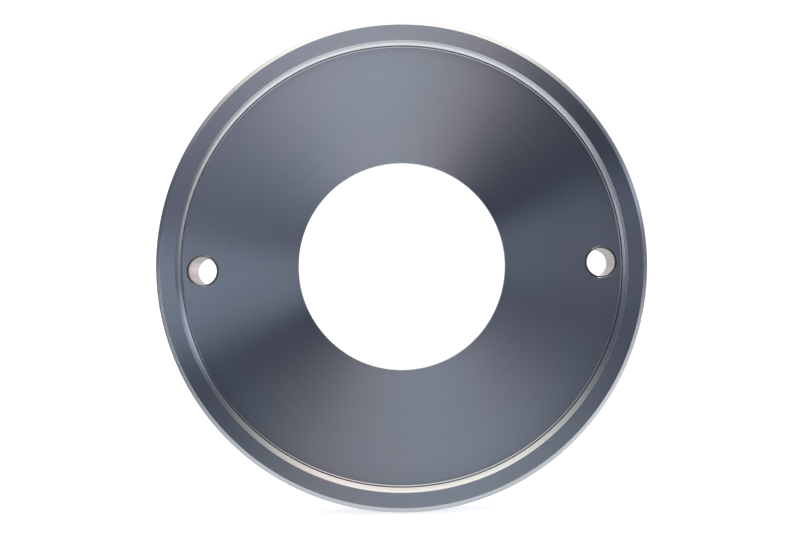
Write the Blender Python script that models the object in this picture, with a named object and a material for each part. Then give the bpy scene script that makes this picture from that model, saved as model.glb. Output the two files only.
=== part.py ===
"""Brake disc rotor: a turned disc inside a raised rim ring, with two bushed through holes.

Units are metres and +Z is up. The rotor stands like a wheel: its axis is Y, its recessed front
faces -Y, its flat mounting back faces +Y, and the two bushed holes lie on the X axis. The origin
is on the rotor's axis, half way through its thickness.
"""

from math import pi, radians

import bmesh
import bpy
from mathutils import Matrix, Vector

# Rotor as a whole
OUTER_RADIUS = 0.090
THICKNESS = 0.013
FRONT_Y = -THICKNESS / 2
BACK_Y = THICKNESS / 2
JOINT_GAP = 0.0003  # clearance drawn between pieces that are pressed together

# Rim ring: its flat front, then two slopes down to the disc
RIM_FACE_INNER_RADIUS = 0.0819
RIM_OUTER_FRONT_CHAMFER = 0.0025
RIM_OUTER_BACK_CHAMFER = 0.0010
UPPER_SLOPE_WIDTH = 0.00075
UPPER_SLOPE_DEPTH = 0.00070
LOWER_SLOPE_WIDTH = 0.00070
LOWER_SLOPE_DEPTH = 0.00085
RING_BORE_RADIUS = RIM_FACE_INNER_RADIUS - UPPER_SLOPE_WIDTH - LOWER_SLOPE_WIDTH
SLOPE_TOP_Y = FRONT_Y + UPPER_SLOPE_DEPTH  # where the lower slope starts
SLOPE_FOOT_Y = SLOPE_TOP_Y + LOWER_SLOPE_DEPTH

# Disc inside the ring: a narrow land at the joint, and the turned field a little below it
DISC_RADIUS = RING_BORE_RADIUS - JOINT_GAP
LAND_WIDTH = 0.0002
LAND_STEP = 0.0002  # its height and the width of its slope
FIELD_Y = SLOPE_FOOT_Y + LAND_STEP
BORE_RADIUS = 0.0375
BORE_FRONT_CHAMFER = 0.0002
BORE_BACK_CHAMFER = 0.0008
JOINT_BACK_CHAMFER = 0.0004  # on both edges of the joint at the back

# Bushed holes
HOLE_CENTRE_RADIUS = 0.0725
BUSH_INNER_RADIUS = 0.00505
BUSH_WALL = 0.00045
BUSH_OUTER_RADIUS = BUSH_INNER_RADIUS + BUSH_WALL
BUSH_EDGE_CHAMFER = 0.0001
HOUSING_RADIUS = BUSH_OUTER_RADIUS + JOINT_GAP
CUTTER_OVERRUN = 0.004  # how far a cutter passes each face

# Facets in a full turn
DISC_STEPS = 144
BUSH_STEPS = 48

SHARP_ANGLE = radians(20)


def clear_scene():
    for obj in list(bpy.data.objects):
        bpy.data.objects.remove(obj, do_unlink=True)


def metal(name, colour, roughness):
    """A Principled metal in one plain colour."""
    material = bpy.data.materials.new(name)
    material.use_nodes = True
    shader = material.node_tree.nodes["Principled BSDF"]
    shader.inputs["Base Color"].default_value = (*colour, 1.0)
    shader.inputs["Metallic"].default_value = 1.0
    shader.inputs["Roughness"].default_value = roughness
    return material


def add_object(name, mesh, material, axis_empty, centre=(0.0, 0.0, 0.0)):
    obj = bpy.data.objects.new(name, mesh)
    bpy.context.scene.collection.objects.link(obj)
    obj.parent = axis_empty
    obj.location = centre
    if material:
        mesh.materials.append(material)
    return obj


def turned(name, profile, steps):
    """A mesh made by turning a closed (radius, y) profile once around the Y axis."""
    shape = bmesh.new()
    corners = [shape.verts.new((radius, y, 0.0)) for radius, y in profile]
    edges = [
        shape.edges.new((corner, following))
        for corner, following in zip(corners, corners[1:] + corners[:1])
    ]
    bmesh.ops.spin(
        shape,
        geom=corners + edges,
        cent=(0.0, 0.0, 0.0),
        axis=(0.0, 1.0, 0.0),
        angle=2 * pi,
        steps=steps,
        use_merge=True,
    )
    bmesh.ops.recalc_face_normals(shape, faces=shape.faces)
    mesh = bpy.data.meshes.new(name)
    shape.to_mesh(mesh)
    shape.free()
    mesh.shade_smooth()
    mesh.set_sharp_from_angle(angle=SHARP_ANGLE)
    return mesh


def hole_cutter(name, radius, centre, axis_empty):
    """A round cutter along Y, long enough to pass through both faces of the rotor."""
    shape = bmesh.new()
    bmesh.ops.create_cone(
        shape,
        cap_ends=True,
        segments=BUSH_STEPS,
        radius1=radius,
        radius2=radius,
        depth=THICKNESS + 2 * CUTTER_OVERRUN,
        matrix=Matrix.Rotation(pi / 2, 4, "X"),
    )
    mesh = bpy.data.meshes.new(name)
    shape.to_mesh(mesh)
    shape.free()
    cutter = add_object(name, mesh, None, axis_empty, centre)
    cutter.display_type = "WIRE"
    cutter.hide_render = True
    return cutter


def cut(obj, cutter):
    boolean = obj.modifiers.new(cutter.name, "BOOLEAN")
    boolean.operation = "DIFFERENCE"
    boolean.solver = "EXACT"
    boolean.object = cutter


def rim_profile():
    """The raised ring: a broad chamfer round the outside, and two slopes down into the recess."""
    return [
        (RING_BORE_RADIUS, SLOPE_FOOT_Y),
        (RING_BORE_RADIUS + LOWER_SLOPE_WIDTH, SLOPE_TOP_Y),
        (RIM_FACE_INNER_RADIUS, FRONT_Y),
        (OUTER_RADIUS - RIM_OUTER_FRONT_CHAMFER, FRONT_Y),
        (OUTER_RADIUS, FRONT_Y + RIM_OUTER_FRONT_CHAMFER),
        (OUTER_RADIUS, BACK_Y - RIM_OUTER_BACK_CHAMFER),
        (OUTER_RADIUS - RIM_OUTER_BACK_CHAMFER, BACK_Y),
        (RING_BORE_RADIUS + JOINT_BACK_CHAMFER, BACK_Y),
        (RING_BORE_RADIUS, BACK_Y - JOINT_BACK_CHAMFER),
    ]


def disc_profile():
    """The inner disc: its field lies below the ring's front, and its back is flush with the ring's."""
    land_inner_radius = DISC_RADIUS - LAND_WIDTH
    return [
        (BORE_RADIUS, FIELD_Y + BORE_FRONT_CHAMFER),
        (BORE_RADIUS + BORE_FRONT_CHAMFER, FIELD_Y),
        (land_inner_radius - LAND_STEP, FIELD_Y),
        (land_inner_radius, SLOPE_FOOT_Y),
        (DISC_RADIUS, SLOPE_FOOT_Y),
        (DISC_RADIUS, BACK_Y - JOINT_BACK_CHAMFER),
        (DISC_RADIUS - JOINT_BACK_CHAMFER, BACK_Y),
        (BORE_RADIUS + BORE_BACK_CHAMFER, BACK_Y),
        (BORE_RADIUS, BACK_Y - BORE_BACK_CHAMFER),
    ]


def bush_profile():
    """A thin sleeve, flush with the field and the back, with its inner edges broken."""
    return [
        (BUSH_INNER_RADIUS, FIELD_Y + BUSH_EDGE_CHAMFER),
        (BUSH_INNER_RADIUS + BUSH_EDGE_CHAMFER, FIELD_Y),
        (BUSH_OUTER_RADIUS, FIELD_Y),
        (BUSH_OUTER_RADIUS, BACK_Y),
        (BUSH_INNER_RADIUS + BUSH_EDGE_CHAMFER, BACK_Y),
        (BUSH_INNER_RADIUS, BACK_Y - BUSH_EDGE_CHAMFER),
    ]


def add_rim_ring(axis_empty):
    steel = metal("rim_steel", (0.27, 0.28, 0.31), 0.30)
    return add_object("rim_ring", turned("rim_ring", rim_profile(), DISC_STEPS), steel, axis_empty)


def add_rotor_disc(axis_empty, hole_centres):
    steel = metal("disc_steel", (0.24, 0.25, 0.29), 0.32)
    mesh = turned("rotor_disc", disc_profile(), DISC_STEPS)
    disc = add_object("rotor_disc", mesh, steel, axis_empty)
    for side, centre in hole_centres.items():
        cut(disc, hole_cutter(f"{side}_housing_cutter", HOUSING_RADIUS, centre, axis_empty))
    return disc


def add_bushes(axis_empty, hole_centres):
    steel = metal("bush_steel", (0.47, 0.45, 0.43), 0.35)
    mesh = turned("bush", bush_profile(), BUSH_STEPS)
    mesh.materials.append(steel)
    for side, centre in hole_centres.items():
        add_object(f"{side}_bush", mesh, None, axis_empty, centre)


def main():
    clear_scene()
    axis_empty = bpy.data.objects.new("rotor_axis", None)
    bpy.context.scene.collection.objects.link(axis_empty)
    hole_centres = {
        "left": Vector((-HOLE_CENTRE_RADIUS, 0.0, 0.0)),
        "right": Vector((HOLE_CENTRE_RADIUS, 0.0, 0.0)),
    }
    add_rotor_disc(axis_empty, hole_centres)
    add_rim_ring(axis_empty)
    add_bushes(axis_empty, hole_centres)


main()
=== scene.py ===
"""Looks of the brake disc rotor: finely turned steel in a soft studio light, stood on a pale floor.

Units are metres. Every piece keeps the radii and planes of the CAD node that it stands for, read from
the frame, and adds what the CAD leaves out: broken edges, turned surfaces and finishes.
"""

from math import copysign, cos, hypot, pi, radians, sin, tan

import bmesh
import bpy
from mathutils import Matrix, Vector


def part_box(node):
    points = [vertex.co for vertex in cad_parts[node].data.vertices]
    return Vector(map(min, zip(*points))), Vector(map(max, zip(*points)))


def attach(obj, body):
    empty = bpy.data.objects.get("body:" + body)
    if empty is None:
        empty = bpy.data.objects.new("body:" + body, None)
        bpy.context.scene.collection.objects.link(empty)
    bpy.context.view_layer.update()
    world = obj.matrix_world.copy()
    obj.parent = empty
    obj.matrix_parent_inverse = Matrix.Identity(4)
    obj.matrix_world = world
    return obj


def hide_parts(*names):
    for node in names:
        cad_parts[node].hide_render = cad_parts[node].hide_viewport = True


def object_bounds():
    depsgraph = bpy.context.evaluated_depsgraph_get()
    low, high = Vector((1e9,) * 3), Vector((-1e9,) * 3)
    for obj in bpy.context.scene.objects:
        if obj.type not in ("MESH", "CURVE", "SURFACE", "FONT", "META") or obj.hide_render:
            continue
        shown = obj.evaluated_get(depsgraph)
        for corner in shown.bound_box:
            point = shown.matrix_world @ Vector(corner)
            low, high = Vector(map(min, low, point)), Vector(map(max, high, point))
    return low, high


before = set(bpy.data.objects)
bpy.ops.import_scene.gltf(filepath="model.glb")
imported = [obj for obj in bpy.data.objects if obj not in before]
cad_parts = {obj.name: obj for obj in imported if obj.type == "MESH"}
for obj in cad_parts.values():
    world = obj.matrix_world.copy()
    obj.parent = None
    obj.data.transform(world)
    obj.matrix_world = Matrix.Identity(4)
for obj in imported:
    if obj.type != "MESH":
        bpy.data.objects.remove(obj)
cad_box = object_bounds()

# Camera
CAMERA_DISTANCE = 0.243  # from the plane of the rim's front
CAMERA_RIGHT = 0.0055  # of the rotor's axis
CAMERA_BELOW = 0.011  # the rotor's axis
CAMERA_ROLL = radians(1.3)
CAMERA_NEAREST = 0.01  # nothing closer than this is drawn
CAMERA_SHIFT = (-0.0219, 0.0374)
LENS_MM = 30.24
SENSOR_MM = 36.0

# Shape
DISC_STEPS = 512  # facets in a full turn
BUSH_STEPS = 128
ARC_STEPS = 4  # facets in a rounded edge
EDGE_RADIUS = 0.00012
FINE_EDGE_RADIUS = 0.00006
WORN_EDGE_RADIUS = 0.0022  # round the outside of the rim
LARGEST_SHARE = 0.45  # of a side, for the arc at either end
JOINT_CLOSING = 0.00011  # a pressed joint shows finer than the clearance that the CAD keeps
WIDE_BAND = 0.004  # a flat band wider than this is filled round its holes
SAME_PLACE = 1e-6
SAME_PLANE = 1e-7

# How far along the axis a face's normal points
FLAT = 0.9999  # at least, where a flat face's shading is set dead flat
FACE = 0.995  # at least, on a face across the axis
WALL = 0.05  # at most, on a wall along the axis

# Steel
NOISE_LOW, NOISE_HIGH = 0.3, 0.7  # where most of a noise's values lie
TOOL_PASSES = 420.0  # per metre
TOOL_MARKS = 9000.0  # per metre
DRIFTS = 22.0  # of the tint, per metre
STREAKS = 750.0  # per metre
GROOVE_DEPTH = 0.000004  # of a tool mark
GROOVE_STRENGTH = 0.3
ROUGHNESS_SPREAD = 0.03  # a share of the roughness, from mark to mark
ACROSS_GROOVES = 0.25  # of a turn, from the groove's own direction to the way that light spreads

# Studio
FLOOR_REACH = 6.0
FLOOR_COLOUR = (0.9, 0.9, 0.9, 1.0)
FLOOR_ROUGHNESS = 0.9
FLOOR_GLOW = 0.6
BACKDROP_COLOUR = (1.2, 1.2, 1.2, 1.0)
ROOM_COLOUR = (0.76, 0.85, 1.22)
ROOM_FRONT = 0.055  # strength of the room's light from straight ahead
ROOM_SIDE = 0.105  # what it gains towards the sides
SOFT_BOXES = {
    # clock, lean, half width round, half width across, softness, colour
    "above": (265, 89, 0.64, 0.68, 0.42, (1.72, 1.64, 1.46)),
    "below": (95, 85, 0.88, 0.79, 0.22, (0.69, 0.71, 0.73)),
    "bench strip": (72, 77, 1.00, 0.10, 0.20, (1.22, 1.20, 1.18)),
    "left": (177, 47, 0.20, 0.12, 0.45, (2.80, 2.90, 3.20)),
    "left strip": (174, 92, 0.26, 0.10, 0.25, (3.00, 3.00, 3.00)),
    "near": (238, 24, 0.40, 0.12, 0.70, (1.25, 1.20, 1.38)),
    "right": (341, 85, 0.14, 0.39, 0.60, (0.76, 0.84, 1.06)),
    "warm wall": (290, 60, 0.11, 0.60, 0.70, (0.17, 0.02, 0.05)),
    "right strip": (3, 72, 0.14, 0.07, 0.30, (0.48, 0.51, 0.55)),
    "right back": (28, 133, 0.41, 0.45, 0.27, (0.98, 0.97, 0.94)),
    "upper back": (298, 142, 0.14, 0.53, 0.34, (0.60, 0.58, 0.55)),
    "behind": (180, 178, 0.48, 0.48, 0.20, (1.70, 1.68, 1.66)),
    "behind right": (355, 135, 0.60, 0.24, 0.25, (1.30, 1.30, 1.30)),
}


# Outlines

def corner_rings(node):
    """Every (radius, y) at which a turned CAD node has corners, lowest y first.

    They are read straight above the node's axis, where no hole cuts it.
    """
    low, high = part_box(node)
    axis_x, axis_z = (low.x + high.x) / 2, (low.z + high.z) / 2
    above = [
        vertex.co
        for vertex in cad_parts[node].data.vertices
        if abs(vertex.co.x - axis_x) < SAME_PLACE and vertex.co.z > axis_z
    ]
    rings = {(round(corner.z - axis_z, 6), round(corner.y, 6)) for corner in above}
    return sorted(rings, key=lambda ring: (ring[1], ring[0]))


def rounded(corners):
    """A closed outline from (corner, radius) pairs, each corner an arc no larger than its sides allow."""
    points, radii = zip(*corners)
    outline = []
    for index, (point, radius) in enumerate(zip(points, radii)):
        here = Vector(point)
        before = Vector(points[index - 1]) - here
        after = Vector(points[(index + 1) % len(points)]) - here
        half_angle = before.angle(after) / 2
        shorter = min(LARGEST_SHARE * before.length, LARGEST_SHARE * after.length)
        reach = min(radius / tan(half_angle), shorter)
        start, end = here + reach * before.normalized(), here + reach * after.normalized()
        bisector = (before.normalized() + after.normalized()).normalized()
        middle = here + bisector * reach / cos(half_angle)
        first = start - middle
        turn = first.angle_signed(end - middle)
        for step in range(ARC_STEPS + 1):
            spoke = Matrix.Rotation(-turn * step / ARC_STEPS, 2) @ first
            outline.append(tuple(middle + spoke))
    return outline


def hole_wall(radius, front_y, back_y):
    """Open outline of a hole through both faces, with its two edges broken."""
    turns = [pi / 2 * step / ARC_STEPS for step in range(ARC_STEPS + 1)]
    edge = [
        (radius + FINE_EDGE_RADIUS * (1 - sin(turn)), FINE_EDGE_RADIUS * (1 - cos(turn)))
        for turn in turns
    ]
    front = [(r, front_y + depth) for r, depth in edge]
    back = [(r, back_y - depth) for r, depth in reversed(edge)]
    return front + back


# Meshes and objects

def add_turned(shape, outline, steps, centre=(0.0, 0.0, 0.0), closed=True):
    """Turns a (radius, y) outline round the axis along Y through centre. Wide flat bands are left open."""
    rings = []
    for step in range(steps):
        angle = 2 * pi * step / steps
        spoke = Vector((cos(angle), 0.0, sin(angle)))
        places = [Vector((0.0, y, 0.0)) + radius * spoke + Vector(centre) for radius, y in outline]
        rings.append([shape.verts.new(place) for place in places])
    bands = len(outline) if closed else len(outline) - 1
    for index in range(bands):
        other = (index + 1) % len(outline)
        if abs(outline[index][0] - outline[other][0]) > WIDE_BAND:
            continue
        for ring, following in zip(rings, rings[1:] + rings[:1]):
            shape.faces.new((ring[index], ring[other], following[other], following[index]))


def fill_flat_faces(shape):
    """Fills what is open in each plane across the axis, with any holes in it left open."""
    planes = {round(edge.verts[0].co.y, 7) for edge in shape.edges if edge.is_boundary}
    for plane in planes:
        rim = [
            edge
            for edge in shape.edges
            if edge.is_boundary and abs(edge.verts[0].co.y - plane) < SAME_PLANE
        ]
        bmesh.ops.triangle_fill(shape, use_beauty=True, use_dissolve=False, edges=rim)


def mesh_of(name, shape):
    mesh = bpy.data.meshes.new(name)
    shape.to_mesh(mesh)
    shape.free()
    return mesh


def add_object(name, data, place=(0.0, 0.0, 0.0)):
    obj = bpy.data.objects.new(name, data)
    bpy.context.scene.collection.objects.link(obj)
    obj.location = place
    return obj


def settle(obj):
    """Applies obj's shading normals, so that flat faces stay flat beside their rounded edges."""
    weighted = obj.modifiers.new("Weighted normals", "WEIGHTED_NORMAL")
    weighted.mode = "FACE_AREA"
    weighted.weight = 100  # the largest faces decide
    weighted.keep_sharp = True
    depsgraph = bpy.context.evaluated_depsgraph_get()
    mesh = bpy.data.meshes.new_from_object(obj.evaluated_get(depsgraph), depsgraph=depsgraph)
    obj.modifiers.clear()
    obj.data = mesh
    normals = [corner.vector.copy() for corner in mesh.corner_normals]
    for face in mesh.polygons:
        if abs(face.normal.y) > FLAT:
            for corner in face.loop_indices:
                normals[corner] = Vector((0.0, copysign(1.0, face.normal.y), 0.0))
    mesh.normals_split_custom_set(normals)


def paint(obj, face, edge, wall, slope=None):
    """Finishes for flat faces, edges, walls along the axis, and front slopes that face the axis."""
    mesh = obj.data
    mesh.materials.clear()
    for finish in (face, edge, wall, slope or edge):
        mesh.materials.append(finish)
    for polygon in mesh.polygons:
        normal, centre = polygon.normal, polygon.center
        faces_axis = normal.x * centre.x + normal.z * centre.z < 0
        if abs(normal.y) > FACE:
            polygon.material_index = 0
        elif normal.y < -WALL and faces_axis:
            polygon.material_index = 3
        elif abs(normal.y) > WALL:
            polygon.material_index = 1
        else:
            polygon.material_index = 2


def add_piece(name, shape, finishes, place=(0.0, 0.0, 0.0)):
    """Makes a finished, smooth-shaded piece of shape, whose axis is the object's own Y axis."""
    fill_flat_faces(shape)
    bmesh.ops.recalc_face_normals(shape, faces=shape.faces)
    mesh = mesh_of(name, shape)
    mesh.shade_smooth()
    piece = add_object(name, mesh, place)
    settle(piece)
    paint(piece, **finishes)
    return piece


# Nodes

def new_material(name):
    material = bpy.data.materials.new(name)
    material.use_nodes = True
    return material, material.node_tree


def feed(tree, socket, value):
    """Gives a socket its value: another node's socket, a number or a colour."""
    if isinstance(value, bpy.types.NodeSocket):
        tree.links.new(value, socket)
    else:
        socket.default_value = value


def math_node(tree, operation, *values):
    node = tree.nodes.new("ShaderNodeMath")
    node.operation = operation
    for socket, value in zip(node.inputs, values):
        feed(tree, socket, value)
    return node.outputs["Value"]


def added(tree, first, second):
    """Sum of two colours."""
    node = tree.nodes.new("ShaderNodeVectorMath")
    node.operation = "ADD"
    feed(tree, node.inputs[0], first)
    feed(tree, node.inputs[1], second)
    return node.outputs["Vector"]


def scaled(tree, colour, factor):
    node = tree.nodes.new("ShaderNodeVectorMath")
    node.operation = "SCALE"
    feed(tree, node.inputs[0], colour)
    feed(tree, node.inputs["Scale"], factor)
    return node.outputs["Vector"]


def length_along(tree, vector, axis):
    """How far vector reaches along axis, in lengths of axis."""
    node = tree.nodes.new("ShaderNodeVectorMath")
    node.operation = "DOT_PRODUCT"
    feed(tree, node.inputs[0], vector)
    feed(tree, node.inputs[1], axis)
    return node.outputs["Value"]


def parts_of(tree, vector):
    """The X, Y and Z sockets of a vector."""
    node = tree.nodes.new("ShaderNodeSeparateXYZ")
    feed(tree, node.inputs["Vector"], vector)
    return node.outputs


def noise(tree, place, scale, detail):
    """Noise over a place in space, with scale patterns in a metre."""
    node = tree.nodes.new("ShaderNodeTexNoise")
    node.inputs["Scale"].default_value = scale
    node.inputs["Detail"].default_value = detail
    feed(tree, node.inputs["Vector"], place)
    return node.outputs["Fac"]


def noise_along(tree, distance, per_metre, detail):
    """Noise that varies only with distance, a socket in metres."""
    node = tree.nodes.new("ShaderNodeTexNoise")
    node.noise_dimensions = "1D"
    node.inputs["Scale"].default_value = 1.0
    node.inputs["Detail"].default_value = detail
    feed(tree, node.inputs["W"], math_node(tree, "MULTIPLY", distance, per_metre))
    return node.outputs["Fac"]


def mapped(tree, value, start, end, low=0.0, high=1.0, smooth=False):
    """Maps start..end to low..high, and holds the ends beyond it."""
    node = tree.nodes.new("ShaderNodeMapRange")
    node.interpolation_type = "SMOOTHSTEP" if smooth else "LINEAR"
    node.inputs["From Min"].default_value = start
    node.inputs["From Max"].default_value = end
    node.inputs["To Min"].default_value = low
    node.inputs["To Max"].default_value = high
    feed(tree, node.inputs["Value"], value)
    return node.outputs["Result"]


def spread(tree, noise_value, low, high):
    """Maps the middle of a noise's range to low..high."""
    return mapped(tree, noise_value, NOISE_LOW, NOISE_HIGH, low, high)


# Steel

def drifting_tint(tree, place, colour, tint):
    """The colour of steel that drifts slowly between a little cooler and a little warmer."""
    red, green, blue = colour
    mix = tree.nodes.new("ShaderNodeMix")
    mix.data_type = "RGBA"
    feed(tree, mix.inputs["Factor"], spread(tree, noise(tree, place, DRIFTS, 1.0), 0.0, 1.0))
    mix.inputs["A"].default_value = (red * (1 - tint), green * (1 + tint / 3), blue, 1.0)
    mix.inputs["B"].default_value = (red * (1 + tint), green * (1 - tint / 3), blue, 1.0)
    return mix.outputs["Result"]


def streaks_along_axis(tree, parts, share):
    """A factor that varies by share round the axis and not along it."""
    across = tree.nodes.new("ShaderNodeCombineXYZ")
    feed(tree, across.inputs["X"], parts["X"])
    feed(tree, across.inputs["Z"], parts["Z"])
    streaks = noise(tree, across.outputs["Vector"], STREAKS, 2.0)
    return spread(tree, streaks, 1 - share, 1 + share)


def turned_steel(name, colour, roughness, anisotropy, rings=0.03, tint=0.04, streaks=0.0, along_axis=1.0):
    """Steel cut on a lathe: grooves round the Y axis spread the light across them.

    rings, tint and streaks are shares of the colour: rings run round the axis, tint is how far the steel
    drifts between cool and warm, and streaks run along the axis. along_axis is how much a mark's place
    depends on its depth: 1 on walls and slopes, 0 on flat faces.
    """
    material, tree = new_material(name)
    shader = tree.nodes["Principled BSDF"]
    shader.inputs["Metallic"].default_value = 1.0
    shader.inputs["Anisotropic"].default_value = anisotropy
    shader.inputs["Anisotropic Rotation"].default_value = ACROSS_GROOVES
    tangent = tree.nodes.new("ShaderNodeTangent")
    tangent.direction_type = "RADIAL"
    tangent.axis = "Y"
    feed(tree, shader.inputs["Tangent"], tangent.outputs["Tangent"])

    place = tree.nodes.new("ShaderNodeTexCoord").outputs["Object"]
    parts = parts_of(tree, place)
    squares = [math_node(tree, "POWER", parts[axis], 2.0) for axis in "XZ"]
    radius = math_node(tree, "SQRT", math_node(tree, "ADD", *squares))
    depth = math_node(tree, "MULTIPLY", parts["Y"], along_axis)
    cut = math_node(tree, "ADD", radius, depth)

    strength = spread(tree, noise_along(tree, cut, TOOL_PASSES, 3.0), 1 - rings, 1 + rings)
    if streaks:
        strength = math_node(tree, "MULTIPLY", strength, streaks_along_axis(tree, parts, streaks))
    steel = scaled(tree, drifting_tint(tree, place, colour, tint), strength)
    feed(tree, shader.inputs["Base Color"], steel)

    marks = noise_along(tree, cut, TOOL_MARKS, 2.0)
    smoothest, roughest = roughness * (1 - ROUGHNESS_SPREAD), roughness * (1 + ROUGHNESS_SPREAD)
    feed(tree, shader.inputs["Roughness"], spread(tree, marks, smoothest, roughest))
    bump = tree.nodes.new("ShaderNodeBump")
    bump.inputs["Strength"].default_value = GROOVE_STRENGTH
    bump.inputs["Distance"].default_value = GROOVE_DEPTH
    feed(tree, bump.inputs["Height"], marks)
    feed(tree, shader.inputs["Normal"], bump.outputs["Normal"])
    return material


def bright_steel(name, colour, tint):
    """Steel with a brighter cut, for chamfers, slopes and the bore."""
    return turned_steel(name, colour, 0.25, 0.42, tint=tint)


# Pieces

def bush_centre(side):
    low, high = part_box(f"{side}_bush")
    return Vector(((low.x + high.x) / 2, 0.0, (low.z + high.z) / 2))


def housing_radius(centre):
    """Radius of the hole in the disc round centre, found from the corners nearest to it."""
    corners = [vertex.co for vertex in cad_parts["rotor_disc"].data.vertices]
    return min(hypot(corner.x - centre.x, corner.z - centre.z) for corner in corners)


def add_disc(housing_centres, **finishes):
    (land_inner, land_outer, field_inner, field_outer, bore_front, bore_back,
     joint_back, back_inner, back_outer) = corner_rings("rotor_disc")
    land_rim = (land_outer[0] + JOINT_CLOSING, land_outer[1])
    joint_rim = (joint_back[0] + JOINT_CLOSING, joint_back[1])
    outline = rounded([
        (bore_front, EDGE_RADIUS),
        (field_inner, EDGE_RADIUS),
        (field_outer, FINE_EDGE_RADIUS),
        (land_inner, FINE_EDGE_RADIUS),
        (land_rim, EDGE_RADIUS),
        (joint_rim, EDGE_RADIUS),
        (back_outer, EDGE_RADIUS),
        (back_inner, EDGE_RADIUS),
        (bore_back, EDGE_RADIUS),
    ])
    shape = bmesh.new()
    add_turned(shape, outline, DISC_STEPS)
    for centre in housing_centres:
        wall = hole_wall(housing_radius(centre), field_inner[1], back_inner[1])
        add_turned(shape, wall, BUSH_STEPS, centre, closed=False)
    return add_piece("rotor_disc_turned", shape, finishes)


def add_ring(**finishes):
    (face_inner, face_outer, slope_middle, slope_foot, outer_front, outer_back,
     joint_back, back_inner, back_outer) = corner_rings("rim_ring")
    outline = rounded([
        (slope_foot, FINE_EDGE_RADIUS),
        (slope_middle, FINE_EDGE_RADIUS),
        (face_inner, EDGE_RADIUS),
        (face_outer, EDGE_RADIUS),
        (outer_front, WORN_EDGE_RADIUS),
        (outer_back, WORN_EDGE_RADIUS),
        (back_outer, EDGE_RADIUS),
        (back_inner, EDGE_RADIUS),
        (joint_back, EDGE_RADIUS),
    ])
    shape = bmesh.new()
    add_turned(shape, outline, DISC_STEPS)
    return add_piece("rim_ring_turned", shape, finishes)


def add_bush(side, **finishes):
    (front_inner, front_outer, bore_front, bore_back,
     back_inner, back_outer) = corner_rings(f"{side}_bush")
    corners = (bore_front, front_inner, front_outer, back_outer, back_inner, bore_back)
    shape = bmesh.new()
    add_turned(shape, rounded([(corner, FINE_EDGE_RADIUS) for corner in corners]), BUSH_STEPS)
    return add_piece(f"{side}_bush_sleeve", shape, finishes, bush_centre(side))


def stand_for(piece, node):
    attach(piece, "root")
    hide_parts(node)


# Studio

def add_floor():
    """A pale floor under the rim's lowest point, which the metal doesn't mirror."""
    shape = bmesh.new()
    bmesh.ops.create_grid(shape, x_segments=1, y_segments=1, size=FLOOR_REACH)
    floor = add_object("floor", mesh_of("floor", shape), (0.0, 0.0, cad_box[0].z))
    material, tree = new_material("pale_floor")
    shader = tree.nodes["Principled BSDF"]
    shader.inputs["Base Color"].default_value = FLOOR_COLOUR
    shader.inputs["Roughness"].default_value = FLOOR_ROUGHNESS
    shader.inputs["Emission Color"].default_value = (1.0, 1.0, 1.0, 1.0)
    shader.inputs["Emission Strength"].default_value = FLOOR_GLOW
    floor.data.materials.append(material)
    floor.visible_glossy = False
    floor.visible_diffuse = False
    floor.visible_shadow = False


def clock_direction(clock, lean):
    """A direction clock degrees round from the right, clockwise from the front, and lean off the front."""
    turn, tilt = radians(clock), radians(lean)
    return Vector((cos(turn) * sin(tilt), -cos(tilt), -sin(turn) * sin(tilt)))


def soft_box(tree, direction, clock, lean, round_width, across_width, softness, colour):
    """Light from a soft-edged oval of the sky, as a colour socket."""
    centre = clock_direction(clock, lean)
    across = clock_direction(clock, lean + 90)
    round_axis = centre.cross(across)
    u = length_along(tree, direction, round_axis / round_width)
    v = length_along(tree, direction, across / across_width)
    squares = [math_node(tree, "MULTIPLY", side, side) for side in (u, v)]
    radius = math_node(tree, "SQRT", math_node(tree, "ADD", *squares))
    inside = mapped(tree, radius, 1 + softness, 1 - softness, smooth=True)
    facing = math_node(tree, "GREATER_THAN", length_along(tree, direction, centre), 0.0)
    return scaled(tree, colour, math_node(tree, "MULTIPLY", inside, facing))


def room_light(tree, direction):
    """The dim light of the room, least from straight ahead."""
    depth = parts_of(tree, direction)["Y"]
    strength = mapped(tree, depth, -1.0, 0.0, ROOM_FRONT, ROOM_FRONT + ROOM_SIDE, smooth=True)
    return scaled(tree, ROOM_COLOUR, strength)


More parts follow.
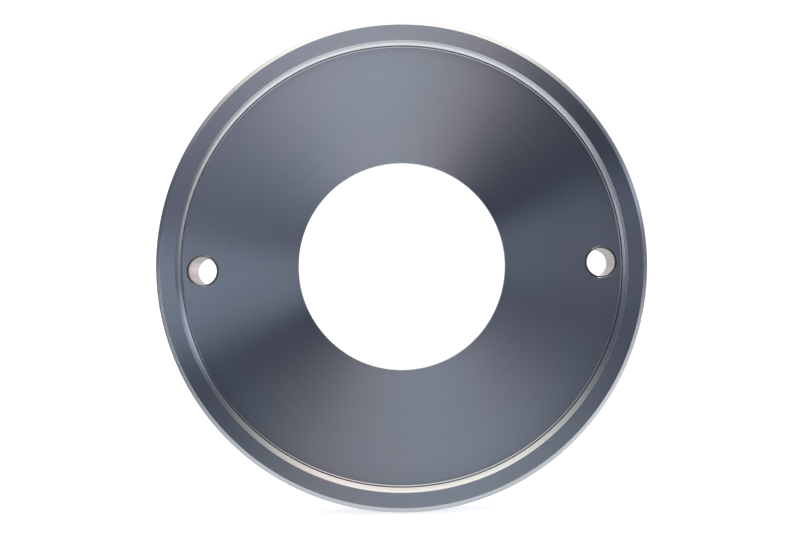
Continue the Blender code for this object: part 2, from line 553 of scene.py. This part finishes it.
def add_world():
    """Lights the rotor with the soft boxes and the room, and shows the camera a plain white backdrop."""
    world = bpy.data.worlds.new("studio")
    bpy.context.scene.world = world
    world.use_nodes = True
    tree = world.node_tree
    tree.nodes.clear()
    direction = tree.nodes.new("ShaderNodeTexCoord").outputs["Generated"]
    first, *others = [soft_box(tree, direction, *box) for box in SOFT_BOXES.values()]
    light = first
    for other in (*others, room_light(tree, direction)):
        light = added(tree, light, other)
    lit = tree.nodes.new("ShaderNodeBackground")
    feed(tree, lit.inputs["Color"], light)
    seen = tree.nodes.new("ShaderNodeBackground")
    seen.inputs["Color"].default_value = BACKDROP_COLOUR
    mix = tree.nodes.new("ShaderNodeMixShader")
    path = tree.nodes.new("ShaderNodeLightPath")
    feed(tree, mix.inputs["Fac"], path.outputs["Is Camera Ray"])
    feed(tree, mix.inputs[1], lit.outputs["Background"])
    feed(tree, mix.inputs[2], seen.outputs["Background"])
    out = tree.nodes.new("ShaderNodeOutputWorld")
    feed(tree, out.inputs["Surface"], mix.outputs["Shader"])


def add_camera():
    camera = bpy.data.cameras.new("camera")
    camera.lens = LENS_MM
    camera.sensor_width = SENSOR_MM
    camera.shift_x, camera.shift_y = CAMERA_SHIFT
    camera.clip_start = CAMERA_NEAREST
    place = (CAMERA_RIGHT, cad_box[0].y - CAMERA_DISTANCE, -CAMERA_BELOW)
    obj = add_object("camera", camera, place)
    obj.rotation_euler = (pi / 2, CAMERA_ROLL, 0.0)
    bpy.context.scene.camera = obj


def main():
    face = turned_steel(
        "turned_face", (0.475, 0.53, 0.595), 0.344, 1.0, rings=0.014, tint=0.03, along_axis=0.0
    )
    chamfer = bright_steel("bright_chamfer", (0.60, 0.605, 0.60), tint=0.02)
    slope = bright_steel("bright_slope", (0.55, 0.555, 0.56), tint=0.02)
    bore = bright_steel("bored_wall", (0.58, 0.585, 0.60), tint=0.04)
    outside = turned_steel("turned_side", (0.40, 0.41, 0.435), 0.30, 0.50)
    sleeve = turned_steel("reamed_sleeve", (0.35, 0.315, 0.297), 0.4, 0.3, rings=0.05, streaks=0.14)
    sides = ("left", "right")
    disc = add_disc([bush_centre(side) for side in sides], face=face, edge=slope, wall=bore)
    stand_for(disc, "rotor_disc")
    ring = add_ring(face=face, edge=chamfer, wall=outside, slope=slope)
    stand_for(ring, "rim_ring")
    for side in sides:
        bush = add_bush(side, face=sleeve, edge=sleeve, wall=sleeve)
        stand_for(bush, f"{side}_bush")
    add_floor()
    add_world()
    add_camera()
    bpy.context.scene.view_settings.view_transform = "Standard"


main()
